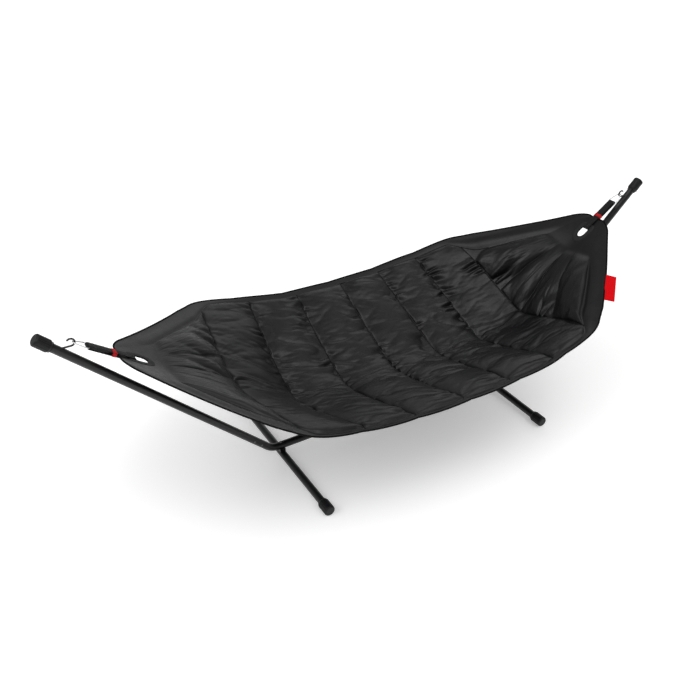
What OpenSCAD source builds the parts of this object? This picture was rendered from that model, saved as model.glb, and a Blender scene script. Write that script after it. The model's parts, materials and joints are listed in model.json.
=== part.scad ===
// Quilted hammock on a free-standing bent-tube stand, millimetres, +Z up.
// The origin is on the ground under the middle; X runs along the stand.

/* [Stand] */
// Overall length, from cap end to cap end
overall_l = 3300; // [3260:10:3340]
// Height of the arm's axis at its cap end
arm_end_z = 1010; // [1000:2:1020]
// Distance from the middle to the corner where the base and arm axes meet
corner_x = 694; // [680:2:700]
// Height of the base tube's axis
base_z = 67; // [67:1:70]
// Outer diameter of every steel tube
tube_d = 38; // [36:1:38]
// Wall thickness of the tubes
tube_wall = 2; // [1.2:0.1:2.2]
// Centreline radius of the bends
bend_r = 90; // [80:5:100]
// Distance along the arm from the corner to the joint line
joint_a = 108; // [100:2:120]

/* [Legs and caps] */
// Distance from the middle to each cross leg
leg_x = 645; // [640:1:650]
// Overall length of a cross leg with its caps
leg_l = 996; // [980:2:1020]
// Outer diameter of the fluted caps
cap_d = 54.6; // [54.2:0.2:55]
// Length of a fluted cap
cap_l = 75; // [70:1:80]
// Number of flutes around a cap
flutes = 12; // [10:1:14]

/* [Hooks and rings] */
// Diameter of the hook's rod
hook_rod_d = 8; // [7:0.5:9]
// Centreline radius of the hook's eye
hook_r = 16; // [15:0.5:17]
// Distance from the middle to the centre of the hook's eye
hook_x = 1520; // [1516:1:1522]
// Height of the line that the hammock swings about
swing_z = 955; // [950:1:958]
// Wire diameter of the ring
ring_wire_d = 5.5; // [5:0.5:6]
// Width of the ring between wire centres at its wide end
ring_w = 51; // [50:1:54]
// Length of the ring between wire centres
ring_l = 62; // [58:1:66]

/* [Straps] */
// Angle of the strap below the horizontal
strap_a = 34.5; // [33:0.5:36]
// Width of the webbing
strap_w = 38; // [36:1:39]
// Thickness of the webbing
strap_t = 2.5; // [2:0.5:3]
// Clear gap between the two layers of the webbing loop
strap_gap = 13; // [12:1:15]

/* [Cloth] */
// Distance from the middle to the blunt tip of the cloth
tip_x = 1350; // [1340:1:1360]
// Half the width of the blunt tip
tip_half_w = 100; // [90:1:110]
// Full width of the hung cloth over its middle
cloth_w = 1312; // [1290:2:1330]
// How fast the slanting edges narrow, width over length
edge_taper = 1.05; // [1:0.01:1.1]
// Height of the long edges at the middle
edge_mid_z = 516; // [500:2:530]
// Height of the valley at the middle
valley_mid_z = 300; // [290:2:310]
// How far the left half of the valley hangs below the line of the straps
left_sag = 5; // [0:1:10]
// Rise over run of the valley towards the right end
right_rise = 1.02; // [0.9:0.01:1.1]
// Roundness of the valley, as a part of the half width
valley_round = 0.22; // [0.15:0.01:0.3]

/* [Quilting] */
// Distance between seams, measured along the valley
panel_w = 286; // [280:1:290]
// Half the thickness of a filled channel at its crown
puff = 14; // [10:1:18]
// Half the thickness of the filling at a seam
seam_half_t = 0.6; // [0.5:0.1:1]
// Thickness of each cover with its stitched allowance
cover_t = 1; // [0.8:0.1:1.5]
// How far the seams bow towards the middle at the edges, as a part of their distance
seam_bow = 0.08; // [0.05:0.01:0.1]

/* [Hidden] */
$fn = 48;
// Running clearance between parts that slide on or press into each other
fit_gap = 0.1;
// Clearance between the hook's rod and the ring hanging in it
hang_gap = 0.9;
// How much wider than the rod the ball is that fuses two runs of it
ball_extra = 0.2;
cap_end_t = 8;
saddle_l = 46;
saddle_w = 30;
saddle_h = 22;
bolt_d = 8;
bolt_hole_d = 8.6;
washer_t = 1.6;
nut_t = 4;
screw_head_t = 4.4;
spigot_l = 100;
rivet_d = 5;
// Distance of the rivet and the screw from the joint line
pin_a = 25;
keeper_t = 1.5;
keeper_w = 18;
keeper_p = 177;
patch_x = 1160;
hole_x = 1260;
hole_half_l = 25;
hole_v = 0.125;
hem_v = 0.984;
// Where the valley leaves the line of the straps
tip_bend_x = 1220;
sag_run = 200;
// How gently the cloth's outlines turn: at the tip's bend, in the valley, at the wide corners
bend_blend = 8;
valley_blend = 55;
corner_blend = 80;
edge_power = 2.3;
tip_rise = 4;
bow_limit = 0.14;
bow_blend = 5;
rim_w = 8;
end_x = overall_l / 2;
arm_a = atan2(arm_end_z - base_z, end_x - corner_x);
arm_l = norm([end_x - corner_x, arm_end_z - base_z]);
bend_t = bend_r * tan(arm_a / 2);
tube_id = tube_d - 2 * tube_wall;
leg_z = cap_d / 2 - 0.3;
contact_x = hook_x - hook_r + hook_rod_d / 2 + ring_wire_d / 2 + hang_gap;
outer_seam_x = 3 * panel_w;
label_x = [950, 1100];
label_out = 60;
label_t = 2;
label_gap = 1.5;

black_steel = [0.11, 0.11, 0.12];
black_cloth = [0.16, 0.16, 0.17];

// ---------- placing helpers ----------

// Children are drawn for the right end; side -1 mirrors them to the left end.
module at_end(side) {
    if (side > 0) children();
    else mirror([1, 0, 0]) children();
}

// Local +Z runs up the right arm from the corner; local -X is the arm's upper side.
module along_arm(a) {
    translate([corner_x, 0, base_z]) rotate([0, 90 - arm_a, 0]) translate([0, 0, a]) children();
}

// Local +X runs down the right strap from the ring's contact with the hook.
module along_strap(p) {
    translate([contact_x, 0, swing_z]) rotate([0, 180 - strap_a, 0]) translate([p, 0, 0]) children();
}

// ---------- stand ----------

// The base tube's path as a solid rod: the straight, a bend and a stub at each end.
module base_rod(d, extra) {
    straight_l = corner_x - bend_t;
    translate([0, 0, base_z]) rotate([0, 90, 0])
        cylinder(h = 2 * straight_l, d = d, center = true);
    for (side = [-1, 1]) at_end(side) {
        translate([straight_l, 0, base_z]) sphere(d = d + ball_extra);
        translate([straight_l, 0, base_z + bend_r]) rotate([90, 0, 0]) rotate([0, 0, -90])
            rotate_extrude(angle = arm_a) translate([bend_r, 0]) circle(d = d);
        along_arm(bend_t) {
            sphere(d = d + ball_extra);
            cylinder(h = joint_a - bend_t + extra, d = d);
        }
    }
}

module leg_bolt_holes() {
    for (x = [-leg_x, leg_x]) translate([x, 0, -10]) cylinder(h = 120, d = bolt_hole_d);
}

module base_tube() {
    color(black_steel) difference() {
        base_rod(tube_d, 0);
        base_rod(tube_id, 1);
        leg_bolt_holes();
        for (side = [-1, 1]) at_end(side) along_arm(joint_a - pin_a) rotate([90, 0, 0])
            cylinder(h = tube_d + 2, d = rivet_d + fit_gap, center = true);
    }
}

// Sleeve inside the joint between the base tube's stub and the arm.
module joint_spigot(side) {
    color("silver") at_end(side) difference() {
        along_arm(joint_a - spigot_l / 2) cylinder(h = spigot_l, d = tube_id - fit_gap);
        along_arm(joint_a - spigot_l / 2 - 1) cylinder(h = spigot_l + 2, d = tube_id - 6);
        for (a = [-pin_a, pin_a]) along_arm(joint_a + a) rotate([90, 0, 0])
            cylinder(h = tube_d, d = rivet_d + fit_gap, center = true);
    }
}

module cross_pin(a, d) {
    along_arm(joint_a + a) rotate([90, 0, 0]) {
        cylinder(h = tube_d + 1, d = d, center = true);
        for (tilt = [0, 180]) rotate([tilt, 0, 0]) translate([0, 0, tube_d / 2 + 0.5])
            cylinder(h = 1.5, d1 = d + 4, d2 = d + 1);
    }
}

module spigot_rivets() {
    color("silver") for (side = [-1, 1]) at_end(side) cross_pin(-pin_a, rivet_d);
}

module joint_screws() {
    color(black_steel) for (side = [-1, 1]) at_end(side) cross_pin(pin_a, rivet_d);
}

module arm(side) {
    tube_l = arm_l - cap_end_t - joint_a - 0.5;
    color(black_steel) at_end(side) difference() {
        along_arm(joint_a + 0.4) cylinder(h = tube_l, d = tube_d);
        along_arm(joint_a - 1) cylinder(h = tube_l + 4, d = tube_id);
        along_arm(joint_a + pin_a) rotate([90, 0, 0])
            cylinder(h = tube_d + 2, d = rivet_d + fit_gap, center = true);
    }
}

// Open eye of round rod in the XZ plane with a straight shank down to the arm.
// The eye's mouth faces the arm's outer end, so that the ring can't ride up.
module hook(side) {
    shank_l = 42;
    mouth_a = 49;
    color(black_steel) at_end(side) difference() {
        union() {
            translate([hook_x, 0, swing_z]) rotate([90, 0, 0]) {
                rotate([0, 0, mouth_a]) rotate_extrude(angle = 270 - mouth_a)
                    translate([hook_r, 0]) circle(d = hook_rod_d);
                rotate([0, 0, mouth_a]) translate([hook_r, 0, 0])
                    sphere(d = hook_rod_d + ball_extra);
            }
            translate([hook_x, 0, swing_z - hook_r]) {
                sphere(d = hook_rod_d + ball_extra);
                rotate([0, 90, 0]) cylinder(h = shank_l, d = hook_rod_d);
            }
        }
        along_arm(joint_a) cylinder(h = arm_l, d = tube_d + 0.02);
    }
}

// Moulded cap: a fluted barrel on a chamfered neck, closed by a rounded end at z = cap_l.
module fluted_cap() {
    end_r = 9;
    neck_l = 12;
    neck_d = 46;
    flute_r = 3.2;
    difference() {
        rotate_extrude() {
            polygon([[0, 0], [neck_d / 2, 0], [neck_d / 2, 4], [cap_d / 2, neck_l],
                [cap_d / 2, cap_l - end_r], [0, cap_l - end_r]]);
            translate([0, cap_l - end_r]) square([cap_d / 2 - end_r, end_r]);
            intersection() {
                translate([cap_d / 2 - end_r, cap_l - end_r]) circle(r = end_r);
                translate([0, cap_l - end_r]) square([cap_d / 2, end_r]);
            }
        }
        translate([0, 0, -1]) cylinder(h = cap_l - cap_end_t + 1, d = tube_d + fit_gap);
        for (i = [0 : flutes - 1]) rotate([0, 0, (i + 0.5) * 360 / flutes])
            translate([cap_d / 2 + 1.4, 0, neck_l + 2]) cylinder(h = cap_l, r = flute_r, $fn = 24);
    }
}

module arm_cap(side) {
    color(black_steel) at_end(side) along_arm(arm_l - cap_l) fluted_cap();
}

module leg(side) {
    tube_l = leg_l - 2 * (cap_end_t + 0.1);
    color(black_steel) difference() {
        translate([side * leg_x, 0, leg_z]) rotate([90, 0, 0])
            cylinder(h = tube_l, d = tube_d, center = true);
        translate([side * leg_x, 0, leg_z]) rotate([90, 0, 0])
            cylinder(h = tube_l + 2, d = tube_id, center = true);
        leg_bolt_holes();
    }
}

// The foot caps lie on their side, each with a narrow flat where it meets the ground.
module foot_cap(side, end) {
    color(black_steel) difference() {
        translate([side * leg_x, end * (leg_l / 2 - cap_l), leg_z])
            rotate([end * -90, 0, 0]) rotate([0, 0, 90]) fluted_cap();
        translate([side * leg_x, end * leg_l / 2, -10]) cube([80, 4 * cap_l, 20], center = true);
    }
}

// Spacer that seats the base tube on the leg, hollowed to fit both tubes.
module leg_saddle(side) {
    color(black_steel) difference() {
        translate([side * leg_x, 0, (base_z + leg_z) / 2])
            cube([saddle_w, saddle_l, saddle_h], center = true);
        translate([side * leg_x, 0, base_z]) rotate([0, 90, 0])
            cylinder(h = saddle_l * 2, d = tube_d + fit_gap, center = true);
        translate([side * leg_x, 0, leg_z]) rotate([90, 0, 0])
            cylinder(h = saddle_l * 2, d = tube_d + fit_gap, center = true);
        leg_bolt_holes();
    }
}

leg_under_z = leg_z - tube_d / 2;
base_top_z = base_z + tube_d / 2;

module leg_bolts() {
    color("silver") for (x = [-leg_x, leg_x]) translate([x, 0, 0]) {
        translate([0, 0, leg_under_z - washer_t - nut_t])
            cylinder(h = base_top_z - leg_under_z + washer_t + nut_t + 0.5, d = bolt_d);
        translate([0, 0, base_top_z + 0.1]) cylinder(h = screw_head_t, d1 = 14, d2 = 9);
    }
}

module leg_washers() {
    color("silver") for (x = [-leg_x, leg_x]) translate([x, 0, leg_under_z - washer_t])
        difference() {
            cylinder(h = washer_t - 0.1, d = 16);
            translate([0, 0, -1]) cylinder(h = washer_t + 2, d = bolt_d + 0.4);
        }
}

module leg_nuts() {
    color("silver") for (x = [-leg_x, leg_x]) translate([x, 0, leg_under_z - washer_t - nut_t])
        difference() {
            cylinder(h = nut_t - 0.1, d = 15, $fn = 6);
            translate([0, 0, -1]) cylinder(h = nut_t + 2, d = bolt_d + fit_gap);
        }
}

// ---------- rings and straps ----------

// Pear-shaped wire loop: a wide bend on the hook and two tighter ones at the strap's bar,
// joined by straight runs and swept as one closed tube. Each bend is [first and last angle
// of the outward normal, centre, radius], and each station [angle, centre, radius].
module ring(side) {
    hook_bend_r = 9.5;
    bar_bend_r = 6.5;
    wire_sides = 12;
    bend_steps = 8;
    wide_x = ring_l - bar_bend_r;
    wide_y = ring_w / 2 - bar_bend_r;
    run_x = wide_x - hook_bend_r;
    flare_a = atan2(wide_y, run_x) - asin((hook_bend_r - bar_bend_r) / norm([run_x, wide_y]));
    bends = [
        [0, 90 + flare_a, [wide_x, wide_y], bar_bend_r],
        [90 + flare_a, 270 - flare_a, [hook_bend_r, 0], hook_bend_r],
        [270 - flare_a, 360, [wide_x, -wide_y], bar_bend_r]];
    stations = [for (b = bends) for (i = [0 : bend_steps])
        [b[0] + (b[1] - b[0]) * i / bend_steps, b[2], b[3]]];
    count = len(stations);
    points = [for (s = stations) for (k = [0 : wire_sides - 1])
        let (turn = 360 * k / wire_sides, reach = s[2] + ring_wire_d / 2 * cos(turn))
        [s[1][0] + reach * cos(s[0]), s[1][1] + reach * sin(s[0]), ring_wire_d / 2 * sin(turn)]];
    faces = [for (i = [0 : count - 1]) for (k = [0 : wire_sides - 1])
        let (next_i = (i + 1) % count, next_k = (k + 1) % wire_sides)
        [i * wire_sides + k, i * wire_sides + next_k,
        next_i * wire_sides + next_k, next_i * wire_sides + k]];
    color("silver") at_end(side) along_strap(0) polyhedron(points = points, faces = faces);
}

// Long hole outline with round ends, from p = 0 to p = l.
module slot_outline(l, r) {
    translate([r, 0]) circle(r = r);
    translate([l - r, 0]) circle(r = r);
    translate([r, -r]) square([l - 2 * r, 2 * r]);
}

// Webbing loop: round the ring's wide bar, over the cloth's tip and through its hole.
module strap(side) {
    start_p = ring_l - ring_wire_d / 2 - fit_gap;
    end_p = (contact_x - hole_x - hole_half_l) / cos(strap_a) + 1;
    color([0.09, 0.09, 0.1]) at_end(side) along_strap(start_p) rotate([90, 0, 0])
        linear_extrude(height = strap_w, center = true) difference() {
            translate([-strap_t, 0])
                slot_outline(end_p - start_p + 2 * strap_t, strap_gap / 2 + strap_t);
            slot_outline(end_p - start_p, strap_gap / 2);
        }
}

// Flat band that holds the two layers of webbing together.
module strap_keeper(side) {
    in_w = strap_w + 0.4;
    in_h = strap_gap + 2 * strap_t + 0.4;
    color("firebrick") at_end(side) along_strap(keeper_p) difference() {
        cube([keeper_w, in_w + 2 * keeper_t, in_h + 2 * keeper_t], center = true);
        cube([keeper_w + 2, in_w, in_h], center = true);
    }
}

// ---------- cloth surface ----------

// Lesser and greater of two values, with the corner between them blended over k.
function blend_min(a, b, k) = (a + b - sqrt(pow(a - b, 2) + k * k)) / 2;
function blend_max(a, b, k) = (a + b + sqrt(pow(a - b, 2) + k * k)) / 2;

// Half width and height of the cloth's edge at x.
function edge_y(x) =
    blend_min(cloth_w / 2, tip_half_w + (tip_x - abs(x)) * edge_taper, corner_blend);
function edge_z(x) =
    edge_mid_z + (pull_z(tip_x) + tip_rise - edge_mid_z) * pow(abs(x) / tip_x, edge_power);

// Height of the straight line of the straps, and of the valley under it.
function pull_z(x) = swing_z - tan(strap_a) * (contact_x - abs(x));
function slope_z(x) = pull_z(tip_bend_x) - (tip_bend_x - x) * right_rise;
function climb_z(x) =
    x < 0 ? pull_z(x) - left_sag * max(0, min(1, (tip_bend_x + x) / sag_run))
    : blend_min(pull_z(x), slope_z(x), bend_blend);
function valley_z(x) = blend_max(valley_mid_z, climb_z(x), valley_blend);

// Cross-section: a V with a rounded bottom, 0 at the valley and 1 at the edge.
function vee(v) = (norm([v, valley_round]) - valley_round) / (norm([1, valley_round]) - valley_round);

// Point on the cloth's middle surface raised by h; u runs along the valley, v across.
function bow(u) = blend_min(seam_bow * abs(u), bow_limit * (tip_x - abs(u)), bow_blend);
function along_x(u, v) = u - sign(u) * bow(u) * v * v;
function cloth_point(u, v, h) =
    let (x = along_x(u, v), valley = valley_z(u))
    [x, v * edge_y(x), valley + (edge_z(x) - valley) * vee(v) + h];

// Half thickness of the filling at (u, v): crowned channels between the seams.
function channel_t(u) =
    abs(u) < outer_seam_x ? (abs(u) / panel_w) % 1
    : min(1, (abs(u) - outer_seam_x) / (patch_x - outer_seam_x));
function fill_h(u, v) =
    seam_half_t + puff * pow(max(0, sin(180 * channel_t(u))), 0.6)
    * pow(max(0, 1 - pow(abs(v) / hem_v, 6)), 0.5);

// ---------- cloth mesh ----------

// Grid lines across the cloth: finer at the strap's hole, doubled at the binding.
half_v = [0, hole_v, 0.2, 0.35, 0.5, 0.65, 0.8, 0.92, hem_v, 1];
v_lines = concat([for (i = [len(half_v) - 1 : -1 : 1]) -half_v[i]], half_v);
// Grid lines along the cloth: six to a channel, then the end panel and the tip.
channel_steps = 6;
end_steps = 6;
tip_lines = [hole_x - 60, hole_x - hole_half_l, hole_x, hole_x + hole_half_l, tip_x - 38,
    tip_x - rim_w, tip_x];
half_u = concat(
    [for (i = [0 : 3 * channel_steps]) i * panel_w / channel_steps],
    [for (i = [1 : end_steps]) outer_seam_x + (patch_x - outer_seam_x) * i / end_steps],
    tip_lines);
u_lines = concat([for (i = [len(half_u) - 1 : -1 : 1]) -half_u[i]], half_u);
mid_u = len(half_u) - 1;
last_u = len(u_lines) - 1;
last_v = len(v_lines) - 1;
mid_v = len(half_v) - 1;
patch_i = 3 * channel_steps + end_steps;
hole_i = patch_i + 3;

// The four cells around the hole's centre are left out of every layer at the tips.
function in_hole(i, j) =
    (abs(i + 0.5 - mid_u) > hole_i - 1) && (abs(i + 0.5 - mid_u) < hole_i + 1)
    && (abs(j + 0.5 - mid_v) < 1);

// The hole is a D: its corner points on the side away from the strap are drawn in.
function hole_pull(i, j) = abs(i - mid_u) == hole_i - 1 && abs(j - mid_v) == 1 ? 0.74 : 1;
function grid_point(i, j, h) =
    let (k = hole_pull(i, j), u = u_lines[i], centre = sign(u) * hole_x)
    k == 1 ? cloth_point(u, v_lines[j], h) : cloth_point(centre + (u - centre) * k, v_lines[j] * k, h);

// A closed sheet over grid cells [i0, i1) x [j0, j1), between two surfaces.
// kind 0 is the filling, 1 the top cover, 2 the bottom cover, 3 the stiffener,
// 4 the eyelet patch on top and 5 the binding.
function low_h(kind, i, j) =
    let (f = fill_h(u_lines[i], v_lines[j]))
    kind == 0 ? -f : kind == 1 ? f : kind == 2 ? -f - cover_t : kind == 3 ? -f
    : kind == 4 ? f + cover_t : -4;
function high_h(kind, i, j) =
    let (f = fill_h(u_lines[i], v_lines[j]))
    kind == 0 ? f : kind == 1 ? f + cover_t : kind == 2 ? -f : kind == 3 ? f
    : kind == 4 ? f + cover_t + 1 : 4;

module cloth_layer(kind, i0, i1, j0, j1, hem_only = false) {
    rows = j1 - j0 + 1;
    count = (i1 - i0 + 1) * rows;
    function id(i, j) = (i - i0) * rows + (j - j0);
    function inside(i, j) =
        i >= i0 && i < i1 && j >= j0 && j < j1 && !in_hole(i, j)
        && (!hem_only || i == 0 || i == last_u - 1 || j == 0 || j == last_v - 1);
    low = [for (i = [i0 : i1]) for (j = [j0 : j1]) grid_point(i, j, low_h(kind, i, j))];
    high = [for (i = [i0 : i1]) for (j = [j0 : j1]) grid_point(i, j, high_h(kind, i, j))];
    cells = [for (i = [i0 : i1 - 1]) for (j = [j0 : j1 - 1]) if (inside(i, j)) [i, j]];
    top_faces = [for (c = cells) each
        [[id(c[0], c[1]) + count, id(c[0], c[1] + 1) + count, id(c[0] + 1, c[1] + 1) + count],
        [id(c[0], c[1]) + count, id(c[0] + 1, c[1] + 1) + count, id(c[0] + 1, c[1]) + count]]];
    bottom_faces = [for (f = top_faces) [f[2] - count, f[1] - count, f[0] - count]];
    // Side walls where a cell has no neighbour: [next cell, first corner, second corner].
    rims = [for (c = cells) each [
        [[c[0] - 1, c[1]], [c[0], c[1]], [c[0], c[1] + 1]],
        [[c[0], c[1] + 1], [c[0], c[1] + 1], [c[0] + 1, c[1] + 1]],
        [[c[0] + 1, c[1]], [c[0] + 1, c[1] + 1], [c[0] + 1, c[1]]],
        [[c[0], c[1] - 1], [c[0] + 1, c[1]], [c[0], c[1]]]]];
    walls = [for (r = rims) if (!inside(r[0][0], r[0][1]))
        let (a = id(r[1][0], r[1][1]), b = id(r[2][0], r[2][1]))
        each [[a, b, b + count], [a, b + count, a + count]]];
    polyhedron(points = concat(low, high), faces = concat(top_faces, bottom_faces, walls));
}

module top_cover() {
    color(black_cloth) cloth_layer(1, 1, last_u - 1, 1, last_v - 1);
}

module bottom_cover() {
    color(black_cloth) cloth_layer(2, 1, last_u - 1, 1, last_v - 1);
}

// Filling of channel n, counted from the left; channels 1 and 8 are the end panels.
module channel_fill(n) {
    first = n == 1 ? mid_u - patch_i : mid_u + (n - 5) * channel_steps;
    last = n == 8 ? mid_u + patch_i : mid_u + (n - 4) * channel_steps;
    color([0.3 + 0.05 * (n % 2), 0.3, 0.34])
        cloth_layer(0, first, last, 1, last_v - 1);
}

module tip_stiffener(side) {
    color("dimgray") {
        if (side < 0) cloth_layer(3, 1, mid_u - patch_i, 1, last_v - 1);
        else cloth_layer(3, mid_u + patch_i, last_u - 1, 1, last_v - 1);
    }
}

// Stitched patch on the top cover around the hole.
module eyelet_patch(side) {
    middle = mid_u + side * hole_i;
    color([0.2, 0.2, 0.21]) cloth_layer(4, middle - 2, middle + 2, mid_v - 3, mid_v + 3);
}

module edge_binding() {
    color([0.1, 0.1, 0.1]) cloth_layer(5, 0, last_u, 0, last_v, true);
}

// Fabric label sewn to the front slanting edge at the right end, standing outwards.
module side_label() {
    ends = [for (x = label_x) [x, -edge_y(x) - label_gap, edge_z(x)]];
    run = ends[1] - ends[0];
    out = [run[1], -run[0], 0] / norm([run[0], run[1]]) * label_out;
    rim = [ends[0], ends[1], ends[1] + out, ends[0] + out];
    color("red") polyhedron(
        points = concat([for (p = rim) p - [0, 0, label_t / 2]], [for (p = rim) p + [0, 0, label_t / 2]]),
        faces = [[0, 1, 2, 3], [7, 6, 5, 4], [1, 0, 4, 5], [2, 1, 5, 6], [3, 2, 6, 7], [0, 3, 7, 4]]);
}

base_tube();
joint_spigot(-1);  // joint_spigot_left
joint_spigot(1);  // joint_spigot_right
spigot_rivets();
arm(-1);  // arm_left
arm(1);  // arm_right
joint_screws();
hook(-1);  // hook_left
hook(1);  // hook_right
arm_cap(-1);  // arm_cap_left
arm_cap(1);  // arm_cap_right
leg(-1);  // leg_left
leg(1);  // leg_right
leg_saddle(-1);  // leg_saddle_left
leg_saddle(1);  // leg_saddle_right
leg_bolts();
leg_washers();
leg_nuts();
foot_cap(-1, -1);  // foot_cap_left_front
foot_cap(-1, 1);  // foot_cap_left_back
foot_cap(1, -1);  // foot_cap_right_front
foot_cap(1, 1);  // foot_cap_right_back
ring(-1);  // ring_left
ring(1);  // ring_right
strap(-1);  // strap_left
strap(1);  // strap_right
strap_keeper(-1);  // strap_keeper_left
strap_keeper(1);  // strap_keeper_right
top_cover();
bottom_cover();
channel_fill(1);  // channel_fill_1
channel_fill(2);  // channel_fill_2
channel_fill(3);  // channel_fill_3
channel_fill(4);  // channel_fill_4
channel_fill(5);  // channel_fill_5
channel_fill(6);  // channel_fill_6
channel_fill(7);  // channel_fill_7
channel_fill(8);  // channel_fill_8
tip_stiffener(-1);  // tip_stiffener_left
tip_stiffener(1);  // tip_stiffener_right
eyelet_patch(-1);  // eyelet_patch_left
eyelet_patch(1);  // eyelet_patch_right
edge_binding();
side_label();
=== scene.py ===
"""Quilted cloth hammock on a black steel tube stand: the looks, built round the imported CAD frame.

Everything is in metres in the row frame: x runs along the hammock, y across it, z up from the floor.
The cloth is one grid of rows and columns whose lines follow the seams and the hem, padded by a cloth
simulation that is held along every line of stitching.
"""

import json
import math

import bmesh
import bpy
import numpy as np
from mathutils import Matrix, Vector


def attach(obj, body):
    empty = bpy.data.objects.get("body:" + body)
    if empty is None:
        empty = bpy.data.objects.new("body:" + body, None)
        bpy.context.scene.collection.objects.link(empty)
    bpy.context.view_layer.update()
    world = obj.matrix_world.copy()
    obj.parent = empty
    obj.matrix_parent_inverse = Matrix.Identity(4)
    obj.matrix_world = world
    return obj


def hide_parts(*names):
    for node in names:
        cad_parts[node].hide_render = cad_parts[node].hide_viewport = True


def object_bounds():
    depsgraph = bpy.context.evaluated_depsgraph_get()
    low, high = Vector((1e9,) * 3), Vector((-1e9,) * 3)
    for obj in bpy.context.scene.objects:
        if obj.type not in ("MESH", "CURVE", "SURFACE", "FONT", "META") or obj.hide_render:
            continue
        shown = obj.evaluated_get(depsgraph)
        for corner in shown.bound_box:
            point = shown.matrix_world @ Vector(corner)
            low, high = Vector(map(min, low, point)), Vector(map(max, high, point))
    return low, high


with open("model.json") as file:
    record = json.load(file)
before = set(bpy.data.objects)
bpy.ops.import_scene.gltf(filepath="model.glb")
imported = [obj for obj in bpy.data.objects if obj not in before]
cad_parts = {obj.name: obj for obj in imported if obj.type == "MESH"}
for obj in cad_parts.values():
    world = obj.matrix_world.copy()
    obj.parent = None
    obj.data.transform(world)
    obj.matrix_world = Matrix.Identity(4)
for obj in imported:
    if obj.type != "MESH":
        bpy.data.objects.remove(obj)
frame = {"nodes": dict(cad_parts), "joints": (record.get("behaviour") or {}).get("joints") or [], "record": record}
cad_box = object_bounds()

# ---------- the hung cloth: its outline, valley and lines of stitching ----------

TIP_X = 1.350  # half length, at the ends of the cloth
TIP_HALF_W = 0.092
TIP_CORNER_R = 0.045
CLOTH_HALF_W = 0.656
EDGE_TAPER = 1.05  # how fast the slanting edges narrow, half width over length
EDGE_BLEND = 0.080  # how gently the outline turns at the four wide corners
BACK_BULGE = 0.028  # the back edge stands out at the left corner
BACK_BULGE_X = -0.62
WAIST = 0.022  # both edges are drawn in at the right corners
WAIST_X = 0.80
BULGE_REACH = 0.36
EDGE_MID_Z = 0.516  # height of the long edges at the middle
EDGE_RISE_POWER = 2.3
TIP_RISE = 0.004  # the corners of a tip stand this far above its middle
VALLEY_MID_Z = 0.300  # height of the valley at the middle
VALLEY_ROUND = 0.16  # roundness of the valley, as a part of the half width
LEFT_SAG = 0.005  # the left half of the valley hangs this far below the line of the straps
SAG_RUN = 0.200
RIGHT_RISE = 1.02  # rise over run of the valley towards the right end
TIP_BEND_X = 1.220  # where the valley leaves the line of the straps
BEND_BLEND = 0.008
VALLEY_BLEND = 0.055
PANEL_W = 0.286  # distance between seams
OUTER_SEAM_X = 3 * PANEL_W
HOLE_X = 1.260
PATCH_X = 1.160  # the padding ends here, at the stiff tip
SCALLOP = 0.007  # how far each seam draws the long edges in
SEAM_BOW = 0.087  # how far a seam bows towards the middle at the edges, as a part of its distance
BOW_LIMIT = 0.14
BOW_BLEND = 0.005
SEAM_SKEW = 0.040  # the back ends of the middle seams lie this far to the right, the front ends to the left
SEAM_SHIFT = 0.024  # the middle seams lie this far to the right
HEM_W = 0.036
END_HEM_W = 0.078  # along the slanting edges, where the hem is a padded roll
HEM_HEIGHT = 0.0012
ROLL_HEIGHT = 0.008
ROLL_END_X = 1.240
HEM_SHARE_LIMIT = 0.42
SEAM_HALF_T = 0.0006
# half width of the narrow dark strips of painted shade laid in the seam grooves
SEAM_SHADE_HALF_W = 0.0036

# ---------- padding, creases and folds ----------

PUFF = 0.026  # how far a channel stands out at its crown
PUFF_POWER = 0.42  # the channels swell steeply beside the seams and are nearly flat between
ROUGHNESS = 0.0012
CREASE_STEP = 0.040  # distance between creases along a seam
CREASE_DEPTH = 0.028
END_CREASE_STEP = 0.058  # the pillows outside the outer seams are wider and longer
END_CREASE_LONGER = 1.35
LEFT_END_CALM = 0.45  # the left end is pulled flatter
FOLD_HEIGHT = 0.0125
VALLEY_FOLD = 0.009
VALLEY_FOLD_W = 0.016
VALLEY_WANDER = 0.020
END_FOLD_RIGHT = 0.034
END_FOLD_LEFT = 0.015
FAN_TURNS = 7.5  # folds of the fan, in radians of fold for each radian round its centre
FAN_SHIFT = 0.06  # the fan's centre lies this far outside the hole, and the fan starts this far inside it
FAN_RISE = 0.20

# ---------- straps, rings and label, as in the CAD except where it says otherwise ----------

SWING_Z = frame["joints"][0]["pos_m"][2]
CONTACT_X = 1.51165
STRAP_A = math.radians(34.5)
STRAP_W = 0.038
STRAP_T = 0.0025
STRAP_GAP = 0.013
RING_WIRE_D = 0.0055
RING_W = 0.051
RING_L = 0.062
RING_HOOK_R = 0.0102  # a little rounder than in the CAD, to clear the hook at the ends of the swing
RING_BAR_R = 0.0065
KEEPER_P = 0.177  # place along the strap, from where it hangs
KEEPER_W = 0.018
KEEPER_T = 0.0015
KEEPER_GAP = 0.0002  # between the keeper and the strap
LABEL_X = (0.958, 1.088)  # the sewn side, 20 mm shorter than in the CAD
LABEL_OUT = 0.054  # how far it stands out, 6 mm less than in the CAD
LABEL_T = 0.0020
LABEL_GAP = 0.0015  # from the edge of the cloth, where the binding is
LABEL_TUCK = 0.002  # how far the label reaches into the binding
LABEL_DROOP = 0.10
LABEL_SWAY = 0.054

# ---------- camera, floor and light ----------

CAMERA_PLACE = (-1.935, -2.828, 2.610)
CAMERA_TURN = math.radians(30.91)  # from straight along y, towards x
CAMERA_TILT = math.radians(32.64)  # downwards
LENS_MM = 40.85
SENSOR_MM = 36.0

SKY_LIGHT = 0.28
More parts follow.
